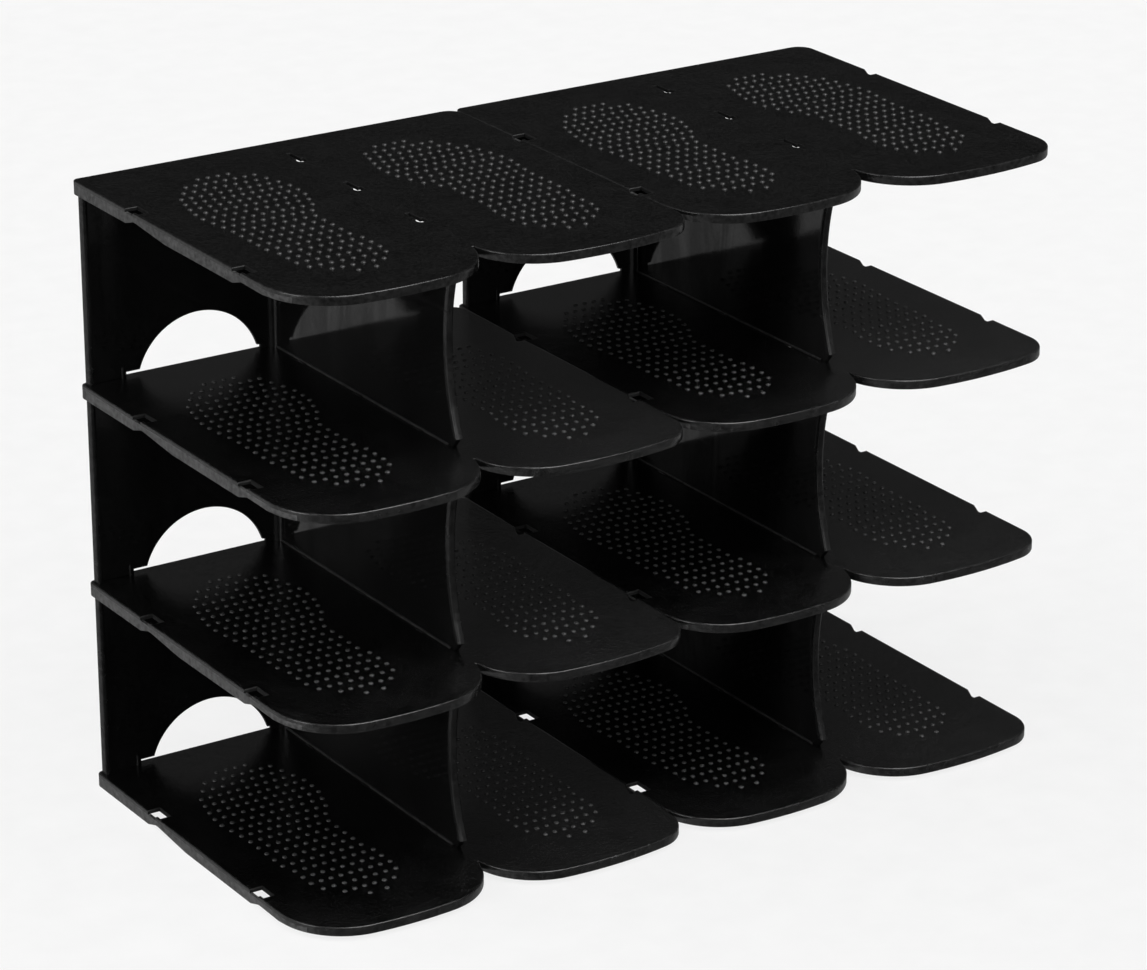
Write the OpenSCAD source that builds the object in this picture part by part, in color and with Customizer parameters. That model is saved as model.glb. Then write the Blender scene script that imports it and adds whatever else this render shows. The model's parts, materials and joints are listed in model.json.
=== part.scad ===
// Stackable shoe rack: eight push-together shelves in two columns of four,
// held apart by six upright panels.  X runs across the rack, the shoes go in
// from the front (-Y), Z is up.  The origin is at the middle of the footprint,
// on the floor.

/* [Shelf] */
// Width of one shoe lane; a shelf has two lanes
lane_w = 150; // [130:1:170]
// Depth of a shelf, from the back edge to the tip of the lobes
shelf_d = 310; // [290:1:340]
// Thickness of the deck that the shoes stand on
deck_t = 2.6; // [2:0.1:4]
// Height of a shelf along its sides and back
skirt_h = 10; // [9:0.5:14]
// Height of the lip round the front lobes
lip_h = 6.5; // [5:0.5:9]
// Wall thickness of the skirt and the lip
skirt_t = 2.2; // [1.6:0.1:3]
// Radius of the front corners of each lobe
lobe_r = 50; // [36:1:58]
// Radius of the front right corner of the right lobe, which is tighter
corner_front_r = 30; // [24:1:50]
// Radius of the shallow front curve of each lobe
front_arc_r = 280; // [200:5:400]

/* [Tiers] */
// Height from one deck to the next
tier_pitch = 145; // [130:1:170]

/* [Upright] */
// Wall thickness of the divider and the back panel
wall_t = 3; // [2.4:0.1:3.4]
// Width of the bead along the free edges of an upright
bead_w = 5.4; // [4.6:0.1:6]
// Depth of that bead
bead_d = 4; // [3:0.5:6]
// How far the divider reaches from the back edge at its narrowest
divider_reach = 236; // [225:1:245]
// Radius of the hollow front edge of the divider
waist_r = 169; // [150:1:240]
// Radius of the arched opening in the back panel
arch_r = 48.2; // [36:0.1:50]
// Clearance in the slots and sockets
fit_gap = 0.2; // [0.15:0.05:0.4]

/* [Hidden] */
$fn = 64;

black = [0.075, 0.075, 0.08];
black_up = [0.06, 0.06, 0.065];

shelf_w = 2 * lane_w;
// the two corner arcs and the front arc of a lobe meet in tangents
arc_dx = lane_w / 2 - lobe_r;
arc_dy = sqrt(pow(front_arc_r - lobe_r, 2) - arc_dx * arc_dx);
lobe_y = shelf_d - front_arc_r + arc_dy;
tight_dx = lane_w / 2 - corner_front_r;
tight_y = shelf_d - front_arc_r + sqrt(pow(front_arc_r - corner_front_r, 2) - tight_dx * tight_dx);
back_r_left = 4;
back_r_right = 12;
mid = lane_w;

// coupling notches of the side edges, measured from the back edge
notch_v = [76, 220];
notch_len = 15;
notch_w = 7;
recess_len = 13.5;
recess_d = 5;

// keyholes on the middle line, measured from the back edge: where the narrow
// part begins, how long it is, and how long the wide end is
key_v = [28, 104, 184];
key_slit = 14;
key_slit_w = 3.2;
key_open = 8;
key_open_w = 7;

up_h = tier_pitch - deck_t;
waist_z = 70;
heel_z = 8;
panel_y = 3;
panel_x = 3;
corner_r = 6;
arch_x = 88.7;
arch_z = -11.5;
slot_x0 = 32.5;
slot_x1 = 137;
slot_h = 3.6;
hook_len = 7;

// ---- shelf ---------------------------------------------------------------

// Outline of a shelf seen from above, drawn inward by "i"
module outline(i = 0) {
    // main field
    translate([i, -lobe_y]) square([shelf_w - 2 * i, lobe_y - back_r_right]);
    translate([i, -back_r_right]) square([back_r_left - i, back_r_right - back_r_left]);
    translate([back_r_left, -back_r_right])
        square([shelf_w - back_r_right - back_r_left, back_r_right - i]);
    translate([back_r_left, -back_r_left]) circle(r = back_r_left - i);
    translate([shelf_w - back_r_right, -back_r_right]) circle(r = back_r_right - i);
    // two lobes; the outer right corner is tighter than the other three
    for (k = [0, 1]) translate([k * lane_w, 0]) {
        r2 = k == 1 ? corner_front_r : lobe_r;
        y2 = k == 1 ? tight_y : lobe_y;
        translate([lobe_r, -lobe_y]) circle(r = lobe_r - i);
        translate([lane_w - r2, -y2]) circle(r = r2 - i);
        if (k == 1) translate([lane_w / 2, -y2]) square([lane_w / 2 - i, y2 - lobe_y + 1]);
        intersection() {
            translate([lane_w / 2, -(shelf_d - front_arc_r)]) circle(r = front_arc_r - i, $fn = 128);
            tx = (front_arc_r - i) * arc_dx / (front_arc_r - lobe_r);
            tx2 = (front_arc_r - i) * (lane_w / 2 - r2) / (front_arc_r - r2);
            translate([lane_w / 2 - tx, -shelf_d - 1]) square([tx + tx2, shelf_d - lobe_y + 1.02]);
        }
    }
}

// Ramped recess in the right edge, for the side coupling
module recess_2d(v, i = 0) {
    polygon([[shelf_w + 2, -v + i], [shelf_w, -v + i],
             [shelf_w - recess_d - i, -v - recess_len + 2.5 + i],
             [shelf_w - recess_d - i, -v - recess_len - i * 0.8],
             [shelf_w + 2, -v - recess_len - i * 0.8]]);
}

module shelf_outer() {
    difference() {
        union() {
            outline(0);
            // small web that closes the sharp end of the cleft between the lobes
            translate([mid - 1, -lobe_y - 7]) square([2, 8]);
        }
        for (v = notch_v) recess_2d(v);
    }
}

module shelf_inner() {
    difference() {
        outline(skirt_t);
        for (v = notch_v) recess_2d(v, skirt_t);
    }
}

module keyhole(v, grow = 0) {
    translate([mid - key_slit_w / 2 - grow, -v - key_slit - 0.1])
        square([key_slit_w + 2 * grow, key_slit + 0.1]);
    translate([mid - key_open_w / 2 - grow, -v - key_slit - key_open + key_open_w / 2])
        square([key_open_w + 2 * grow, key_open - key_open_w / 2]);
    translate([mid, -v - key_slit - key_open + key_open_w / 2]) circle(d = key_open_w);
}

// Ribs under the deck: two cross ribs a lane, stopped short of the sockets
module ribs() {
    rib_h = 3;
    for (v = [62, 148, 206])
        translate([skirt_t - 0.2, -v - 0.8, -deck_t - rib_h])
            cube([shelf_w - 2 * skirt_t + 0.4, 1.6, rib_h + 0.2]);
    for (x = [lane_w / 2, lane_w * 1.5])
        translate([x - 0.8, -shelf_d + skirt_t - 0.2, -deck_t - rib_h])
            cube([1.6, shelf_d - 2 * skirt_t + 0.4 - 16, rib_h + 0.2]);
}

// Socket rails under the deck that grip the top edge of the upright below
module sockets() {
    h = 3;
    a = wall_t / 2 + fit_gap;
    for (s = [[66, 34], [132, 46]]) for (m = [0, 1])
        translate([m == 0 ? mid - a - 2 : mid + a, -s[0] - s[1], -deck_t - h])
            cube([2, s[1], h + 0.2]);
    for (x = [[16, 40], [96, 36]])
        translate([x[0], -panel_y - wall_t - fit_gap - 2, -deck_t - h])
            cube([x[1], 2, h + 0.2]);
}

// A shelf: its back left corner on the Z axis, its deck top at z = 0
module shelf() {
    difference() {
        union() {
            // deck
            translate([0, 0, -deck_t]) linear_extrude(deck_t) shelf_outer();
            // skirt and lip in one ring
            translate([0, 0, -skirt_h]) linear_extrude(skirt_h - deck_t + 0.01)
                difference() { shelf_outer(); shelf_inner(); }
            difference() {
                ribs();
                // the upright below passes between the ribs
                translate([mid - bead_w / 2 - 0.6, -divider_reach - 24, -deck_t - 8])
                    cube([bead_w + 1.2, divider_reach + 24, 8]);
            }
            sockets();
        }
        // the lip round the lobes is lower than the side skirts
        rotate([90, 0, 90]) translate([0, 0, -1]) linear_extrude(shelf_w + 2)
            polygon([[-(notch_v[1] + notch_len + 1), -skirt_h - 1],
                     [-(notch_v[1] + notch_len + 1), -skirt_h + 0.6],
                     [-(notch_v[1] + notch_len + 28), -lip_h],
                     [-shelf_d - 1, -lip_h], [-shelf_d - 1, -skirt_h - 1]]);
        // keyholes for the hooks of the upright above
        translate([0, 0, -deck_t - 1]) linear_extrude(deck_t + 2)
            for (v = key_v) keyhole(v);
        // coupling slots along the left edge, and their low outer wall
        for (v = notch_v) {
            translate([skirt_t, -v - notch_len, -deck_t - 1])
                cube([notch_w, notch_len, deck_t + 2]);
            translate([-1, -v - 11, -2.4]) cube([skirt_t + 2, 11, 4]);
            translate([-1, -v - notch_len, -skirt_h - 1]) cube([skirt_t + 2, 6, 3.4]);
        }
    }
}

// ---- upright -------------------------------------------------------------

// Front edge of the divider, drawn in (depth, height)
module divider_side() {
    difference() {
        translate([0, 0]) square([divider_reach + 24, up_h]);
        translate([divider_reach + waist_r, waist_z]) circle(r = waist_r, $fn = 128);
        translate([divider_reach + waist_r, waist_z - 2 * waist_r]) square([60, 4 * waist_r]);
        // heel: the bottom of the front edge leans back to the foot
        polygon([[divider_reach + 5, -0.01], [divider_reach + 12.2, heel_z],
                 [divider_reach + 40, heel_z], [divider_reach + 40, -0.01]]);
        // reliefs under the keyholes of the shelf above
        for (v = key_v) translate([v - 1, up_h - 4]) square([key_slit + key_open + 2, 5]);
    }
}

// The bead that follows the front edge
module divider_bead_side() {
    difference() {
        divider_side();
        translate([-bead_d, 0]) intersection() {
            translate([0, -1]) square([divider_reach + 60, up_h + 2]);
            difference() {
                translate([0, -1]) square([divider_reach + 24, up_h + 2]);
                translate([divider_reach + waist_r, waist_z]) circle(r = waist_r, $fn = 128);
            }
        }
        square([divider_reach - 12, up_h]);
    }
}

module hook(v) {
    // neck through the slit, and a wider foot under the deck
    translate([mid - 1.4, -v - 1.5 - hook_len, -deck_t - fit_gap - 0.01])
        cube([2.8, hook_len, deck_t + fit_gap + 0.51]);
    translate([mid - 3, -v - 1.5 - hook_len, -deck_t - fit_gap - 2.4])
        cube([6, hook_len, 2.4]);
}

// An upright: one L-shaped moulding that stands on the deck at z = 0.  The
// divider stands on the middle line and the arched panel closes the left lane.
module upright(hooks = true) {
    difference() {
        union() {
            // divider
            translate([mid - wall_t / 2, 0, 0]) rotate([90, 0, 90]) mirror([1, 0, 0])
                linear_extrude(wall_t) difference() {
                    divider_side();
                    square([panel_y, up_h]);
                }
            translate([mid - bead_w / 2, 0, 0]) rotate([90, 0, 90]) mirror([1, 0, 0])
                linear_extrude(bead_w) divider_bead_side();
            // back panel with its edge bead and the rounded inner corner
            linear_extrude(up_h) {
                translate([panel_x, -panel_y - wall_t]) square([mid - panel_x + wall_t / 2 - 0.01, wall_t]);
                translate([panel_x, -panel_y - bead_w]) square([bead_d, bead_w]);
                difference() {
                    translate([mid - wall_t / 2 - corner_r, -panel_y - wall_t - corner_r])
                        square([corner_r + 0.5, corner_r + 0.5]);
                    translate([mid - wall_t / 2 - corner_r, -panel_y - wall_t - corner_r])
                        circle(r = corner_r);
                }
            }
            // low foot ribs along the divider
            translate([mid - wall_t / 2 - 1, -divider_reach, 0])
                cube([wall_t + 2, divider_reach - panel_y - wall_t - 2, 1.2]);
            // thin pads that cover the wide ends of the keyholes below
            for (v = key_v)
                translate([mid - key_open_w / 2 - 0.5, -v - key_slit - key_open - 0.6, 0])
                    cube([key_open_w + 1, key_open + 1.4, 0.6]);
            // locating bead at the end of the panel foot
            translate([slot_x0 - 3, -panel_y - wall_t, 0]) cylinder(r = 1, h = 8, $fn = 24);
            if (hooks) for (v = key_v) hook(v);
        }
        // arched opening, and the long low gap under the panel
        translate([0, -panel_y + 1, 0]) rotate([90, 0, 0]) linear_extrude(bead_w + 8) {
            translate([arch_x, arch_z]) circle(r = arch_r, $fn = 96);
            translate([slot_x0, -1]) square([slot_x1 - slot_x0, slot_h + 1]);
        }
    }
}

// ---- placing -------------------------------------------------------------

// column 0 is the left one, level 1 is the lowest
module at(column, level) {
    translate([(column - 1) * shelf_w, shelf_d / 2, skirt_h + (level - 1) * tier_pitch]) children();
}

module shelf_left_1() { color(black) at(0, 1) shelf(); }
module shelf_left_2() { color(black) at(0, 2) shelf(); }
module shelf_left_3() { color(black) at(0, 3) shelf(); }
module shelf_left_4() { color(black) at(0, 4) shelf(); }
module shelf_right_1() { color(black) at(1, 1) shelf(); }
module shelf_right_2() { color(black) at(1, 2) shelf(); }
module shelf_right_3() { color(black) at(1, 3) shelf(); }
module shelf_right_4() { color(black) at(1, 4) shelf(); }
module upright_left_1() { color(black_up) at(0, 1) upright(); }
module upright_left_2() { color(black_up) at(0, 2) upright(); }
module upright_left_3() { color(black_up) at(0, 3) upright(); }
module upright_right_1() { color(black_up) at(1, 1) upright(); }
module upright_right_2() { color(black_up) at(1, 2) upright(); }
module upright_right_3() { color(black_up) at(1, 3) upright(); }

shelf_left_1();
shelf_left_2();
shelf_left_3();
shelf_left_4();
shelf_right_1();
shelf_right_2();
shelf_right_3();
shelf_right_4();
upright_left_1();
upright_left_2();
upright_left_3();
upright_right_1();
upright_right_2();
upright_right_3();
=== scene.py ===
import json
import math

import bmesh
import bpy
import numpy as np
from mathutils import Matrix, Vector
from mathutils.geometry import delaunay_2d_cdt

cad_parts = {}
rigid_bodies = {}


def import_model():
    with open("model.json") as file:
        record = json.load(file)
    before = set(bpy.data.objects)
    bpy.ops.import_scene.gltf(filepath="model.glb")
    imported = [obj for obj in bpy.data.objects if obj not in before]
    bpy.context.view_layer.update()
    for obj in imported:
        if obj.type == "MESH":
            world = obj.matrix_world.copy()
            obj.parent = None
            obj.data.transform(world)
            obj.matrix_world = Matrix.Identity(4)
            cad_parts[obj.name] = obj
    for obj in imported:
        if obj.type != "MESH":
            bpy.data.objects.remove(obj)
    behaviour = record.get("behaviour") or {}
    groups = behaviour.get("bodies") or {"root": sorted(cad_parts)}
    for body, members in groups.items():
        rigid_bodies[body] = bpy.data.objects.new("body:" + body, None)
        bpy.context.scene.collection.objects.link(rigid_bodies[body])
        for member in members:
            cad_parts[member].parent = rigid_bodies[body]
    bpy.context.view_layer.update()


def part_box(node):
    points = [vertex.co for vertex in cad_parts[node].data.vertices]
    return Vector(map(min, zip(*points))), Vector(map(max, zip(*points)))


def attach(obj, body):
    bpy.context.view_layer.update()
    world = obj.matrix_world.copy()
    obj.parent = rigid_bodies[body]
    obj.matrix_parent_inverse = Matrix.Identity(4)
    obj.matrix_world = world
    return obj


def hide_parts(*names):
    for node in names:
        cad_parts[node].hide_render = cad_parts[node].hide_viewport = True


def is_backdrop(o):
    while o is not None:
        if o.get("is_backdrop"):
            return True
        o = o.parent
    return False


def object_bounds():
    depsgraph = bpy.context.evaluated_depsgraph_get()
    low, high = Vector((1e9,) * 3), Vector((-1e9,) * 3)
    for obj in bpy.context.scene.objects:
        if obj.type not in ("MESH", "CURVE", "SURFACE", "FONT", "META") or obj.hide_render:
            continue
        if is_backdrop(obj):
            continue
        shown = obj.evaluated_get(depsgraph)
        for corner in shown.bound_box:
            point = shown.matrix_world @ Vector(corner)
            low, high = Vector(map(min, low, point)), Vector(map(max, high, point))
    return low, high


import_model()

# ---------------------------------------------------------------- places
SHELVES = [f"shelf_{c}_{n}" for c in ("left", "right") for n in (1, 2, 3, 4)]
UPRIGHTS = [f"upright_{c}_{n}" for c in ("left", "right") for n in (1, 2, 3)]
# a shelf's own axes: u to the right, v towards the front from the back edge, z up from the deck
PLACE = {}
for name in SHELVES:
    lo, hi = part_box(name)
    PLACE[name] = Vector((lo.x, hi.y, hi.z))
for name in UPRIGHTS:
    column, level = name.split("_")[1:]
    PLACE[name] = PLACE[f"shelf_{column}_{level}"]

MID = 150.0
DECK_T = 2.6
SKIRT = 10.0
LIP = 6.5
UP_H = 142.4
NOTCH = (76.0, 220.0)
KEYS = (28.0, 104.0, 184.0)


# ---------------------------------------------------------------- 2D helpers
def arc(cx, cy, r, a0, a1, n):
    t = np.radians(np.linspace(a0, a1, n + 1))
    return [(cx + r * math.cos(a), cy + r * math.sin(a)) for a in t]


def clean(points, eps=1e-4):
    out = []
    for p in points:
        if not out or math.dist(p, out[-1]) > eps:
            out.append(p)
    if math.dist(out[0], out[-1]) <= eps:
        out.pop()
    return np.array(out, float)


def area(poly):
    x, y = poly[:, 0], poly[:, 1]
    return 0.5 * float(np.sum(x * np.roll(y, -1) - np.roll(x, -1) * y))


def inset(poly, d, factor=None):
    """The polygon moved towards its inside by d, with mitred corners."""
    s = 1.0 if area(poly) > 0 else -1.0
    prev, nxt = np.roll(poly, 1, 0), np.roll(poly, -1, 0)
    e0, e1 = poly - prev, nxt - poly
    e0 /= np.linalg.norm(e0, axis=1)[:, None]
    e1 /= np.linalg.norm(e1, axis=1)[:, None]
    n0 = np.stack([-e0[:, 1], e0[:, 0]], 1) * s
    n1 = np.stack([-e1[:, 1], e1[:, 0]], 1) * s
    b = n0 + n1
    b /= np.linalg.norm(b, axis=1)[:, None]
    c = np.clip((b * n0).sum(1), 0.35, 1.0)
    k = d / c
    if factor is not None:
        k = k * factor
    return poly + b * k[:, None]


def inside(poly, pts):
    x, y = pts[:, 0], pts[:, 1]
    res = np.zeros(len(pts), bool)
    n = len(poly)
    for i in range(n):
        x0, y0 = poly[i]
        x1, y1 = poly[(i + 1) % n]
        if y0 == y1:
            continue
        hit = ((y0 > y) != (y1 > y)) & (x < (x1 - x0) * (y - y0) / (y1 - y0) + x0)
        res ^= hit
    return res


class Build:
    """Collects vertices and faces in millimetres, with a material index and a smooth flag for each face."""

    def __init__(self):
        self.v, self.f, self.m, self.s = [], [], [], []

    def add(self, pts):
        base = len(self.v)
        self.v.extend([tuple(map(float, p)) for p in pts])
        return list(range(base, base + len(pts)))

    def face(self, idx, mat=0, smooth=False):
        self.f.append(tuple(idx))
        self.m.append(mat)
        self.s.append(smooth)

    def bridge(self, a, b, mat=0, smooth=True, flip=False):
        """Quads between two closed loops of the same length."""
        n = len(a)
        for i in range(n):
            j = (i + 1) % n
            q = (a[i], a[j], b[j], b[i])
            self.face(q[::-1] if flip else q, mat, smooth)

    def fill(self, loops, to3, mat=0, flip=False):
        """A flat face inside loops[0] and outside the others. loops are lists of (index list, 2D points)."""
        pts, edges, ids = [], [], []
        for idx, p in loops:
            base = len(pts)
            pts.extend([Vector((float(q[0]), float(q[1]))) for q in p])
            ids.extend(idx)
            edges.extend([(base + i, base + (i + 1) % len(p)) for i in range(len(p))])
        vo, _, fo, vi, _, _ = delaunay_2d_cdt(pts, edges, [], 0, 1e-6, True)
        vo = np.array([(q.x, q.y) for q in vo])
        tri = np.array([f for f in fo if len(f) == 3], int)
        cen = vo[tri].mean(1)
        keep = inside(np.array(loops[0][1], float), cen)
        for idx, p in loops[1:]:
            p = np.array(p, float)
            box = (cen[:, 0] > p[:, 0].min()) & (cen[:, 0] < p[:, 0].max()) & (cen[:, 1] > p[:, 1].min()) & (cen[:, 1] < p[:, 1].max())
            w = np.nonzero(box & keep)[0]
            if len(w):
                keep[w[inside(p, cen[w])]] = False
        where = []
        for k, origins in enumerate(vi):
            if origins:
                where.append(ids[origins[0]])
            else:
                where.append(self.add([to3(vo[k])])[0])
        for t in tri[keep]:
            a, b, c = vo[t]
            ccw = (b[0] - a[0]) * (c[1] - a[1]) - (b[1] - a[1]) * (c[0] - a[0]) > 0
            q = [where[t[0]], where[t[1]], where[t[2]]]
            if ccw == flip:
                q.reverse()
            self.face(q, mat, False)

    def mesh(self, name, place, materials):
        me = bpy.data.meshes.new(name)
        co = np.array(self.v) * 0.001
        # (u, v, z) to the rack's frame
        co = np.stack([co[:, 0] + place[0], place[1] - co[:, 1], co[:, 2] + place[2]], 1)
        me.from_pydata(co.tolist(), [], [list(f) for f in self.f])
        for m in materials:
            me.materials.append(m)
        me.polygons.foreach_set("material_index", np.array(self.m, np.int32))
        me.update()
        bm = bmesh.new()
        bm.from_mesh(me)
        bmesh.ops.recalc_face_normals(bm, faces=bm.faces)
        bm.to_mesh(me)
        bm.free()
        me.set_sharp_from_angle(angle=math.radians(38))
        me.polygons.foreach_set("use_smooth", np.array(self.s, bool))
        me.update()
        o = bpy.data.objects.new(name, me)
        bpy.context.scene.collection.objects.link(o)
        return o


def extrude(b, poly, to3, t0, t1, soft=0.5, mat=0, side=None, smooth=True, rows=1):
    """A closed slab: a polygon in the plane, thick from t0 to t1, with softened edges on both faces."""
    side = mat if side is None else side
    poly = np.array(poly, float)
    if area(poly) < 0:
        poly = poly[::-1]
    prof = [(soft, t0), (soft * 0.35, t0 + soft * 0.18), (0.0, t0 + soft)]
    prof += [(0.0, t0 + soft + (t1 - t0 - 2 * soft) * k / rows) for k in range(1, rows)]
    prof += [(0.0, t1 - soft), (soft * 0.35, t1 - soft * 0.18), (soft, t1)]
    rings = []
    for d, t in prof:
        p = inset(poly, d) if d else poly
        rings.append((b.add([to3((q[0], q[1]), t) for q in p]), p))
    for (a, _), (c, _) in zip(rings, rings[1:]):
        b.bridge(a, c, side, smooth)
    b.fill([rings[0]], None, mat, flip=True)
    b.fill([rings[-1]], None, mat, flip=False)


# ---------------------------------------------------------------- shelf outline
A_L = math.degrees(math.atan2(228.62, -25.0))     # tangent of a wide corner with the front arc
A_R = math.degrees(math.atan2(245.92, 45.0))      # tangent of the tight right corner
LY, TY = 258.62, 275.92


def shelf_outline(notched):
    p = []
    p += arc(4, 4, 4, -90, -180, 6)
    if notched:
        for v in NOTCH:
            p += [(0, v), (9.2, v), (9.2, v + 15), (2.2, v + 15), (2.2, v + 11), (0, v + 11)]
            if v < 200:
                p += [(0, v + 40), (0, v + 90)]
    else:
        p += [(0, v) for v in (60, 76, 87, 91, 130, 180, 220, 231, 235)]
    p += arc(50, LY, 50, 180, A_L, 22)
    p += arc(75, 30, 280, A_L, 180 - A_L, 14)
    p += arc(100, LY, 50, 180 - A_L, 8.05, 22)
    p += arc(200, LY, 50, 180 - 8.05, A_L, 22)
    p += arc(225, 30, 280, A_L, A_R, 14)
    p += arc(270, TY, 30, A_R, 0, 18)
    for v in NOTCH[::-1]:
        p += [(300, v + 13.5), (295, v + 13.5), (295, v + 11), (300, v)]
    p += arc(288, 12, 12, 0, -90, 10)
    return clean(p)


def keyhole(v):
    p = [(MID - 1.6, v), (MID - 1.6, v + 14), (MID - 3.5, v + 14), (MID - 3.5, v + 18.5)]
    p += arc(MID, v + 18.5, 3.5, 180, 0, 12)
    p += [(MID + 3.5, v + 14), (MID + 1.6, v + 14), (MID + 1.6, v)]
    return clean(p)


# grip pips of the left lane: how many in each row and where the row starts and ends
PIP_ROWS = [(4, 70, 93), (8, 55, 107), (9, 47.5, 110), (11, 40, 113), (12, 37, 115.5), (12, 34.5, 115.5),
            (12, 32.5, 114.5), (11, 32, 111), (11, 33.5, 107.5), (10, 35, 101)]
PIP_ROWS += [(9, 36, 97)] * 5 + [(9, 39, 100)] * 3
PIP_ROWS += [(8, 42, 98), (6, 52, 90), (2, 65, 78)]


def pips():
    out = []
    for j, (n, a, b) in enumerate(PIP_ROWS):
        for i in range(n):
            u = a + (b - a) * i / (n - 1)
            v = 47.0 + 11.0 * j
            out.append((u, v))
            out.append((2 * MID - u, v))
    return out


def box3(b, lo, hi, soft=0.3, mat=0):
    poly = [(lo[0], lo[1]), (hi[0], lo[1]), (hi[0], hi[1]), (lo[0], hi[1])]
    extrude(b, poly, lambda q, t: (q[0], q[1], t), lo[2], hi[2], soft, mat)


def bottom_at(v):
    """Height of the lower edge of the skirt: it rises to the lip towards the front."""
    a, c = 236.0, 263.0
    if v <= a:
        return -SKIRT
    if v >= c:
        return -LIP
    return -SKIRT + 0.6 + (SKIRT - 0.6 - LIP) * (v - a) / (c - a)


def build_shelf(b):
    DECK, RIM, PIP, UNDER = 0, 1, 2, 3
    top = shelf_outline(True)
    # the left edge carries a broader chamfer than the rest
    wide = np.where((top[:, 0] < 2.3) & (top[:, 1] < 236), 1.25, 1.0)
    rings = []
    for d, z in [(0.95, 0.0), (0.6, -0.05), (0.27, -0.25), (0.06, -0.6), (0.0, -0.95), (0.0, -DECK_T)]:
        p = inset(top, d, wide) if d else top
        rings.append((b.add([(q[0], q[1], z) for q in p]), p))
    # the inner walls of the coupling slots stay dull and dark
    n = len(top)
    pocket = (top[:, 0] > 1.0) & (top[:, 0] < 9.5) & (np.min([np.abs(top[:, 1] - v - 7.5) for v in NOTCH], 0) < 7.6)
    for (a, _), (c, _) in zip(rings, rings[1:]):
        for i in range(n):
            j = (i + 1) % n
            b.face((c[i], a[i], a[j], c[j]), UNDER if pocket[i] or pocket[j] else RIM, True)
    holes_top, holes_low = [], []
    for v in KEYS:
        k = keyhole(v)[::-1]
        hr = []
        for d, z in [(0.55, 0.0), (0.18, -0.12), (0.0, -0.5), (0.0, -DECK_T)]:
            # the hole's edge moves into the deck
            p = inset(k, -d) if d else k
            hr.append((b.add([(q[0], q[1], z) for q in p]), p))
        for (a, _), (c, _) in zip(hr, hr[1:]):
            b.bridge(c, a, UNDER, True, flip=True)
        holes_top.append(hr[0])
        holes_low.append(hr[-1])
    # grip pips: low steep-sided domes that grow out of the deck; their lighter material is part rubbed wear and
    # part painted highlight
    N = 10
    ang = [2 * math.pi * i / N for i in range(N)]
    for (u, v) in pips():
        prof = [(1.86, 0.0), (1.72, 0.36), (1.46, 0.66), (1.04, 0.87), (0.52, 0.97)]
        loops = []
        for r, z in prof:
            loops.append(b.add([(u + r * math.cos(a), v + r * math.sin(a), z) for a in ang]))
        for a, c in zip(loops, loops[1:]):
            b.bridge(a, c, PIP, True, flip=False)
        tip = b.add([(u, v, 1.0)])[0]
        for i in range(N):
            b.face((loops[-1][i], loops[-1][(i + 1) % N], tip), PIP, True)
        holes_top.append((loops[0], [(u + 1.86 * math.cos(a), v + 1.86 * math.sin(a)) for a in ang]))
    b.fill([rings[0]] + holes_top, lambda q: (q[0], q[1], 0.0), DECK)
    b.fill([rings[-1]] + holes_low, lambda q: (q[0], q[1], -DECK_T), UNDER, flip=True)


def build_skirt(b):
    """The ring under the deck: side skirts, back skirt and the lower lip round the lobes."""
    RIM, UNDER, FLANK_WORN_LIT = 0, 1, 2
    out = shelf_outline(False)
    o = inset(out, 0.03)
    i = inset(out, 2.2)
    zb = np.array([bottom_at(v) for v in out[:, 1]])
    # the lower edge is cut up over a short length at each coupling
    for v in NOTCH:
        cut = (out[:, 0] < 1) & (out[:, 1] > v + 9) & (out[:, 1] < v + 15.5)
        zb[cut] = -6.6
    z0 = -2.42
    loops = [b.add([(q[0], q[1], z0) for q in i]),
             b.add([(q[0], q[1], z0) for q in o]),
             b.add([(q[0], q[1], z + 0.55) for q, z in zip(o, zb)]),
             b.add([(q[0], q[1], z + 0.12) for q, z in zip(inset(out, 0.2), zb)]),
             b.add([(q[0], q[1], z) for q, z in zip(inset(out, 0.6), zb)]),
             b.add([(q[0], q[1], z) for q, z in zip(inset(out, 1.9), zb)]),
             b.add([(q[0], q[1], z + 0.3) for q, z in zip(i, zb)])]
    # the left side faces get their own lighter material: part rubbed wear, part painted light on the lit side
    side = (out[:, 0] < 8) & (out[:, 1] > 3) & (out[:, 1] < 290)
    for k in range(len(loops)):
        a, c = loops[k], loops[(k + 1) % len(loops)]
        for i in range(len(a)):
            j = (i + 1) % len(a)
            mat = UNDER if k >= 5 else FLANK_WORN_LIT if side[i] and side[j] else RIM
            b.face((a[i], a[j], c[j], c[i]), mat, True)


def build_under(b):
    """Ribs and socket rails under the deck."""
    z0, z1 = -DECK_T - 3.0, -DECK_T + 0.15
    for v in (62, 148, 206):
        box3(b, (2.0, v - 0.8, z0), (147.0, v + 0.8, z1))
        box3(b, (153.0, v - 0.8, z0), (298.0 if v != 62 and v != 206 else 298.0, v + 0.8, z1))
    for u in (75, 225):
        box3(b, (u - 0.8, 18.0, z0), (u + 0.8, 307.0, z1))
    for v, n in ((66, 34), (132, 46)):
        for s in (-1, 1):
            box3(b, (MID + s * 2.7 - 1.0, v, z0), (MID + s * 2.7 + 1.0, v + n, z1))
    for u, n in ((16, 40), (96, 36)):
        box3(b, (u, 6.2, z0), (u + n, 8.2, z1))


# ---------------------------------------------------------------- upright
def waist(z, shift=0.0):
    return 236.0 + 169.0 - math.sqrt(169.0 ** 2 - (z - 70.0) ** 2) - shift


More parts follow.
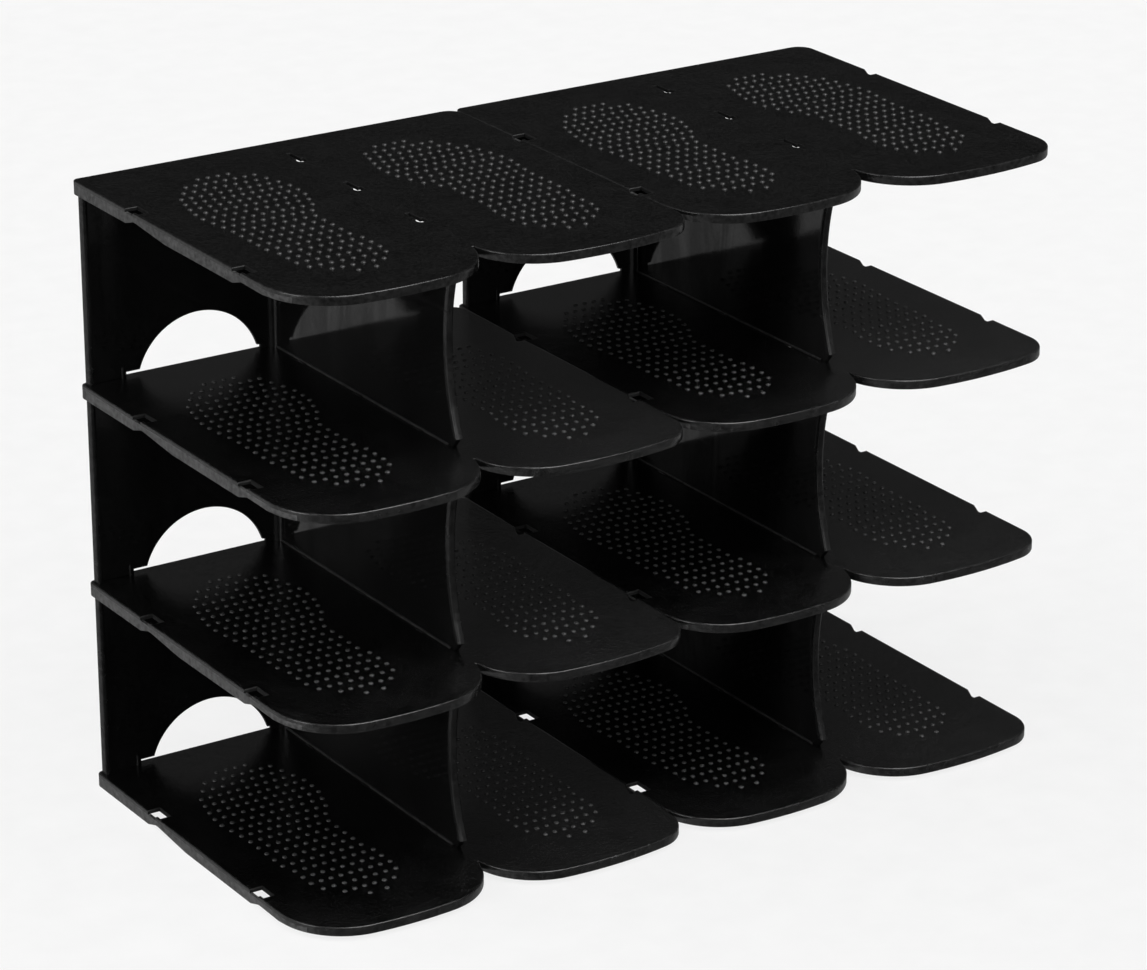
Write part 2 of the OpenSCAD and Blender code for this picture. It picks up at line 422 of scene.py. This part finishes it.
def build_upright(b):
    FACE, BEAD, FOOT = 0, 1, 2
    # divider, in (v, z)
    p = [(3.2, 0.0), (241.0, 0.0), (waist(8.0), 8.0)]
    p += [(waist(z), z) for z in np.linspace(14, UP_H, 26)]
    for v in KEYS[::-1]:
        p += [(v + 23, UP_H), (v + 23, UP_H - 4), (v - 1, UP_H - 4), (v - 1, UP_H)]
    p += [(3.2, UP_H)]
    extrude(b, clean(p), lambda q, t: (t, q[0], q[1]), MID - 1.5, MID + 1.5, 0.45, FACE)
    # bead down the front edge; it stops short of the foot and its end is cut square
    zs = list(np.linspace(7.6, UP_H, 30))
    n = []
    sec = [(-2.7, 0.0), (-2.7, 3.0), (-2.2, 3.8), (-1.2, 4.25), (0.0, 4.35), (1.2, 4.25), (2.2, 3.8), (2.7, 3.0), (2.7, 0.0), (0.0, -0.2)]
    for z in zs:
        w = waist(z, 4.0)
        n.append(b.add([(MID + x, w + y, z) for x, y in sec]))
    for a, c in zip(n, n[1:]):
        b.bridge(a, c, BEAD, True)
    b.face(n[0][::-1], BEAD, False)
    b.face(n[-1], BEAD, False)
    # arched back panel, in (u, z)
    q = [(3.2, 0.0), (32.5, 0.0), (32.5, 3.6)]
    a0 = math.degrees(math.asin(15.1 / 48.2))
    q += arc(88.7, -11.5, 48.2, 180 - a0, a0, 44)
    q += [(137, 3.6), (137, 0.0), (149.9, 0.0), (149.9, UP_H), (3.2, UP_H)]
    extrude(b, clean(q), lambda s, t: (s[0], t, s[1]), 3.0, 6.0, 0.4, FACE)
    # bead on the panel's free edge
    e = [(3.0, 3.0), (7.0, 3.0), (7.0, 7.5), (6.6, 8.15), (5.9, 8.4), (4.1, 8.4), (3.4, 8.15), (3.0, 7.5)]
    lo = b.add([(u, v, 0.0) for u, v in e])
    hi = b.add([(u, v, UP_H) for u, v in e])
    b.bridge(lo, hi, BEAD, True)
    b.face(lo[::-1], BEAD, False)
    b.face(hi, BEAD, False)
    # rounded inner corner
    g = [(149.0, 5.5), (149.0, 12.0)] + arc(142.5, 12.0, 6.0, 0, -90, 12) + [(142.5, 5.5)]
    g = clean(g)
    lo = b.add([(u, v, 0.02) for u, v in g])
    hi = b.add([(u, v, UP_H - 0.02) for u, v in g])
    b.bridge(lo, hi, FACE, True)
    b.fill([(lo, g)], None, FACE, flip=True)
    b.fill([(hi, g)], None, FACE)
    # low foot ribs, the locating bead and the hooks under the deck
    # the foot ribs carry the lighter material: a painted highlight line along the divider's foot
    box3(b, (MID - 2.6, 8.0, 0.02), (MID + 2.6, 236.0, 1.25), 0.45, FOOT)
    c = arc(29.5, 6.0, 1.0, 0, 360, 14)[:-1]
    lo = b.add([(u, v, 0.0) for u, v in c])
    hi = b.add([(u, v, 7.6) for u, v in c])
    up = b.add([(29.5 + (u - 29.5) * 0.55, 6.0 + (v - 6.0) * 0.55, 8.0) for u, v in c])
    b.bridge(lo, hi, BEAD, True)
    b.bridge(hi, up, BEAD, True)
    b.face(lo[::-1], BEAD, False)
    b.face(up, BEAD, False)
    for v in KEYS:
        box3(b, (MID - 4.0, v + 13.2, 0.02), (MID + 4.0, v + 22.6, 0.62), 0.25, BEAD)
        box3(b, (MID - 1.4, v + 1.5, -2.9), (MID + 1.4, v + 8.5, 0.4), 0.25, FACE)
        box3(b, (MID - 3.0, v + 1.5, -5.2), (MID + 3.0, v + 8.5, -2.8), 0.4, FACE)


# ---------------------------------------------------------------- materials
class Nodes:
    def __init__(self, name):
        self.mat = bpy.data.materials.new(name)
        self.mat.use_nodes = True
        self.t = self.mat.node_tree
        self.t.nodes.clear()
        self.out = self.new("ShaderNodeOutputMaterial")
        self.bsdf = self.new("ShaderNodeBsdfPrincipled")
        self.link(self.bsdf.outputs["BSDF"], self.out.inputs["Surface"])
        self.geo = self.new("ShaderNodeNewGeometry")

    def new(self, kind, **kw):
        n = self.t.nodes.new(kind)
        for k, v in kw.items():
            setattr(n, k, v)
        return n

    def link(self, a, b):
        self.t.links.new(a, b)

    def noise(self, scale, detail=4.0, rough=0.55, stretch=(1, 1, 1), distortion=0.0):
        m = self.new("ShaderNodeMapping")
        m.inputs["Scale"].default_value = stretch
        self.link(self.geo.outputs["Position"], m.inputs["Vector"])
        n = self.new("ShaderNodeTexNoise")
        n.inputs["Scale"].default_value = scale
        n.inputs["Detail"].default_value = detail
        n.inputs["Roughness"].default_value = rough
        n.inputs["Distortion"].default_value = distortion
        self.link(m.outputs["Vector"], n.inputs["Vector"])
        return n.outputs["Fac"]

    def cells(self, scale, feature="DISTANCE_TO_EDGE", stretch=(1, 1, 1)):
        m = self.new("ShaderNodeMapping")
        m.inputs["Scale"].default_value = stretch
        self.link(self.geo.outputs["Position"], m.inputs["Vector"])
        n = self.new("ShaderNodeTexVoronoi", feature=feature)
        n.inputs["Scale"].default_value = scale
        self.link(m.outputs["Vector"], n.inputs["Vector"])
        return n.outputs["Distance"]

    def ramp(self, fac, stops):
        r = self.new("ShaderNodeValToRGB")
        el = r.color_ramp.elements
        while len(el) > 1:
            el.remove(el[-1])
        for i, (p, c) in enumerate(stops):
            e = el[0] if i == 0 else el.new(p)
            e.position = p
            e.color = (c, c, c, 1) if not isinstance(c, tuple) else (*c, 1)
        self.link(fac, r.inputs["Fac"])
        return r.outputs["Color"]

    def math(self, op, a, b):
        n = self.new("ShaderNodeMath", operation=op)
        for k, x in enumerate((a, b)):
            if isinstance(x, (int, float)):
                n.inputs[k].default_value = x
            else:
                self.link(x, n.inputs[k])
        return n.outputs[0]

    def bump(self, height, strength, distance, normal=None):
        b = self.new("ShaderNodeBump")
        b.inputs["Strength"].default_value = strength
        b.inputs["Distance"].default_value = distance
        self.link(height, b.inputs["Height"])
        if normal is not None:
            self.link(normal, b.inputs["Normal"])
        return b.outputs["Normal"]


def plastic(name, base, rough, grain, gloss, bumps, wear=0.0, streak=None):
    """Moulded black plastic. base: darkest and lightest colour; grain: scale of the fine mottle;
    gloss: the specular level it varies between; bumps: (height, strength, distance) for each layer."""
    n = Nodes(name)
    b = n.bsdf
    big = n.noise(9.0, 3.0, 0.6)
    fine = n.noise(grain, 4.0, 0.62)
    patch = n.noise(38.0, 3.0, 0.6)
    mix = n.math("ADD", n.math("MULTIPLY", fine, 0.7), n.math("MULTIPLY", patch, 0.3))
    n.link(n.ramp(mix, [(0.38, base[0]), (0.62, base[1])]), b.inputs["Base Color"])
    level = n.ramp(fine, [(0.32, gloss[0]), (0.68, gloss[1])])
    if streak:
        # upright smears in the polish
        smear = n.noise(streak, 3.0, 0.6, stretch=(1.0, 1.0, 0.22), distortion=0.8)
        level = n.math("MULTIPLY", level, n.ramp(smear, [(0.40, 0.50), (0.54, 1.05)]))
    n.link(level, b.inputs["Specular IOR Level"])
    r = n.math("MULTIPLY_ADD", fine, 0.25 * rough)
    r.node.inputs[2].default_value = rough * 0.72
    r2 = n.math("MULTIPLY_ADD", big, 0.3 * rough)
    n.link(r, r2.node.inputs[2])
    if wear:
        # rubbed streaks, long from back to front
        s = n.noise(160.0, 3.0, 0.5, stretch=(1.0, 0.08, 1.0), distortion=0.3)
        r2 = n.math("ADD", r2, n.math("MULTIPLY", n.ramp(s, [(0.62, 0.0), (0.72, 1.0)]), wear))
    n.link(r2, b.inputs["Roughness"])
    normal = None
    for height, strength, distance in bumps(n, fine, big):
        normal = n.bump(height, strength, distance, normal)
    n.link(normal, b.inputs["Normal"])
    return n.mat


# moulded deck: fine leather-like grain
deck_mat = plastic("deck_grain", (0.0002, 0.0074), 0.20, 480.0, (0.28, 0.68),
                   lambda n, fine, big: [(fine, 0.55, 0.00045), (n.noise(60.0, 2.0), 0.25, 0.0008)], wear=0.06)
rim_mat = plastic("rim_polished", (0.003, 0.018), 0.22, 300.0, (0.55, 1.0),
                  lambda n, fine, big: [(fine, 0.35, 0.0005), (n.noise(45.0, 2.0), 0.30, 0.0008)], wear=0.12)
# left side faces: lighter than the rim, part rubbed wear and part painted light on the side that faces the lamps
side_worn_and_lit_mat = plastic("side_rubbed", (0.016, 0.105), 0.34, 260.0, (0.4, 0.8),
                   lambda n, fine, big: [(fine, 0.45, 0.0006), (n.noise(45.0, 2.0), 0.30, 0.0008)], wear=0.15)
# grip pips: lighter than the deck, part rubbed wear and part painted highlight
pip_worn_and_lit_mat = plastic("pip_rubbed", (0.030, 0.062), 0.24, 900.0, (0.5, 0.9),
                  lambda n, fine, big: [(fine, 0.15, 0.0002)], wear=0.05)
under_mat = plastic("underside_matt", (0.004, 0.008), 0.42, 300.0, (0.4, 0.6),
                    lambda n, fine, big: [(fine, 0.35, 0.0004)])
face_mat = plastic("upright_gloss", (0.0028, 0.0068), 0.080, 420.0, (0.44, 0.60),
                   lambda n, fine, big: [(n.noise(16.0, 1.5, 0.45, distortion=0.5), 0.12, 0.0012), (fine, 0.05, 0.0002)], wear=0.05, streak=26.0)
bead_mat = plastic("upright_bead", (0.006, 0.016), 0.24, 240.0, (0.35, 0.65),
                   lambda n, fine, big: [(n.noise(90.0, 3.0), 0.3, 0.0006)], wear=0.10)
# foot ribs: a lighter colour that paints the light line where the rib's top catches light from above (painted
# highlight)
foot_highlight_mat = plastic("foot_edge", (0.016, 0.040), 0.30, 240.0, (0.4, 0.7),
                   lambda n, fine, big: [(n.noise(90.0, 3.0), 0.3, 0.0006)], wear=0.10)

# ---------------------------------------------------------------- pieces
shelf = Build()
build_shelf(shelf)
skirt = Build()
build_skirt(skirt)
under = Build()
build_under(under)
upright = Build()
build_upright(upright)


def join(parts, name, place, materials):
    """One mesh from several builds; each part is (build, {its material index: the joined one})."""
    total = Build()
    for part, remap in parts:
        base = len(total.v)
        total.v += part.v
        total.f += [tuple(i + base for i in f) for f in part.f]
        total.m += [remap.get(m, m) for m in part.m]
        total.s += part.s
    return total.mesh(name, place, materials)


for name in SHELVES:
    o = join([(shelf, {}), (skirt, {0: 1, 1: 3, 2: 4}), (under, {0: 3})], name + "_moulding", PLACE[name],
             [deck_mat, rim_mat, pip_worn_and_lit_mat, under_mat, side_worn_and_lit_mat])
    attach(o, "root")
    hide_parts(name)
for name in UPRIGHTS:
    o = upright.mesh(name + "_moulding", PLACE[name], [face_mat, bead_mat, foot_highlight_mat])
    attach(o, "root")
    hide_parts(name)

# ---------------------------------------------------------------- stage
scene = bpy.context.scene
floor_me = bpy.data.meshes.new("floor")
floor_me.from_pydata([(-14, -10, 0), (14, -10, 0), (14, 16, 0), (-14, 16, 0)], [], [(0, 1, 2, 3)])
floor = bpy.data.objects.new("floor", floor_me)
scene.collection.objects.link(floor)
fm = Nodes("floor_paper")
fm.bsdf.inputs["Roughness"].default_value = 0.9
fm.bsdf.inputs["Specular IOR Level"].default_value = 0.0
fm.link(fm.ramp(fm.noise(30.0, 3.0), [(0.3, 0.86), (0.7, 0.88)]), fm.bsdf.inputs["Base Color"])
floor_me.materials.append(fm.mat)
floor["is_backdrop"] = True
floor.visible_glossy = False
floor.visible_diffuse = False

# a broad even light that falls on the floor only
only_floor = bpy.data.collections.new("floor_light_group")
only_floor.objects.link(floor)
sun = bpy.data.objects.new("floor_sun", bpy.data.lights.new("floor_sun", "SUN"))
sun.data.energy = 2.96
sun.data.angle = math.radians(60)
sun.rotation_euler = (math.radians(8), math.radians(-6), 0)
scene.collection.objects.link(sun)
sun.light_linking.receiver_collection = only_floor
sun.light_linking.blocker_collection = only_floor


def area_light(name, place, aim, size, power):
    l = bpy.data.lights.new(name, "AREA")
    l.shape = "RECTANGLE"
    l.size, l.size_y = size
    l.energy = power
    o = bpy.data.objects.new(name, l)
    o.location = place
    o.rotation_euler = (Vector(aim) - Vector(place)).to_track_quat("-Z", "Y").to_euler()
    scene.collection.objects.link(o)
    return o


only_rack = bpy.data.collections.new("rack_light_group")
columns = {c: bpy.data.collections.new(f"column_{c}_light_group") for c in ("left", "right")}
lower = {c: bpy.data.collections.new(f"lower_{c}_light_group") for c in ("left", "right")}
for o in list(scene.objects):
    if o.name.endswith("_moulding"):
        only_rack.objects.link(o)
        columns[o.name.split("_")[1]].objects.link(o)
        if not o.name.startswith(("shelf_left_4", "shelf_right_4")):
            lower[o.name.split("_")[1]].objects.link(o)
for l in (area_light("key_front", (-0.9, -2.8, 1.3), (0, 0, 0.2), (2.2, 1.4), 9),
          area_light("top_soft", (0.15, -0.8, 2.1), (0, -0.05, 0.4), (1.7, 1.3), 30),
          area_light("left_soft", (-2.6, -0.2, 0.7), (0, 0, 0.2), (1.2, 1.0), 12)):
    l.light_linking.receiver_collection = only_rack
# the backdrop the decks mirror; each column is shaded by its own pieces only, so the right lanes stay open to it
for c, group in columns.items():
    l = area_light("backdrop_" + c, (1.75, 2.75, 2.45), (0, 0, 0.25), (5.6, 2.0), 3.4)
    l.visible_camera = False
    l.light_linking.receiver_collection = lower[c]
    l.light_linking.blocker_collection = group

# world: brighter in front, dim behind; the camera sees only the floor
world = bpy.data.worlds.new("studio")
scene.world = world
world.use_nodes = True
wt = world.node_tree
wt.nodes.clear()
wo = wt.nodes.new("ShaderNodeOutputWorld")
bg = wt.nodes.new("ShaderNodeBackground")
tc = wt.nodes.new("ShaderNodeTexCoord")
sep = wt.nodes.new("ShaderNodeSeparateXYZ")
wt.links.new(tc.outputs["Generated"], sep.inputs[0])


def wmap(value, a, b, c, d):
    m = wt.nodes.new("ShaderNodeMapRange")
    m.interpolation_type = "SMOOTHSTEP"
    for k, x in zip(("From Min", "From Max", "To Min", "To Max"), (a, b, c, d)):
        m.inputs[k].default_value = x
    wt.links.new(value, m.inputs["Value"])
    return m.outputs["Result"]


def wmix(f, a, b):
    m = wt.nodes.new("ShaderNodeMix")
    m.data_type = "FLOAT"
    wt.links.new(f, m.inputs["Factor"])
    for k, x in (("A", a), ("B", b)):
        s = [i for i in m.inputs if i.name == k and i.type == "VALUE"][0]
        if isinstance(x, (int, float)):
            s.default_value = x
        else:
            wt.links.new(x, s)
    return [o for o in m.outputs if o.type == "VALUE"][0]


front = wmap(sep.outputs["Y"], 0.1, -0.75, 0.0, 1.0)
left = wmap(sep.outputs["X"], 0.0, -0.6, 0.0, 1.0)
low = wmix(front, wmix(left, 0.34, 0.50), 0.14)
high = wmix(front, wmix(left, 0.034, 0.34), 0.30)
up = wmap(sep.outputs["Z"], -0.06, 0.12, 0.0, 1.0)
wt.links.new(wmix(up, low, high), bg.inputs["Strength"])
wt.links.new(bg.outputs[0], wo.inputs[0])

# ---------------------------------------------------------------- camera
cam = bpy.data.objects.new("camera", bpy.data.cameras.new("camera"))
scene.collection.objects.link(cam)
cam.data.sensor_width = 36.0
cam.data.lens = 4500.0 / 1147.0 * 36.0
cam.location = (-1.5798, -2.4304, 1.3501)
az, el = math.radians(-32.996), math.radians(21.419)
ahead = Vector((-math.sin(az) * math.cos(el), math.cos(az) * math.cos(el), -math.sin(el)))
cam.rotation_euler = ahead.to_track_quat("-Z", "Y").to_euler()
cam.data.clip_end = 60.0
scene.camera = cam
scene.view_settings.view_transform = "Standard"
scene.view_settings.look = "None"

lo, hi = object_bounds()
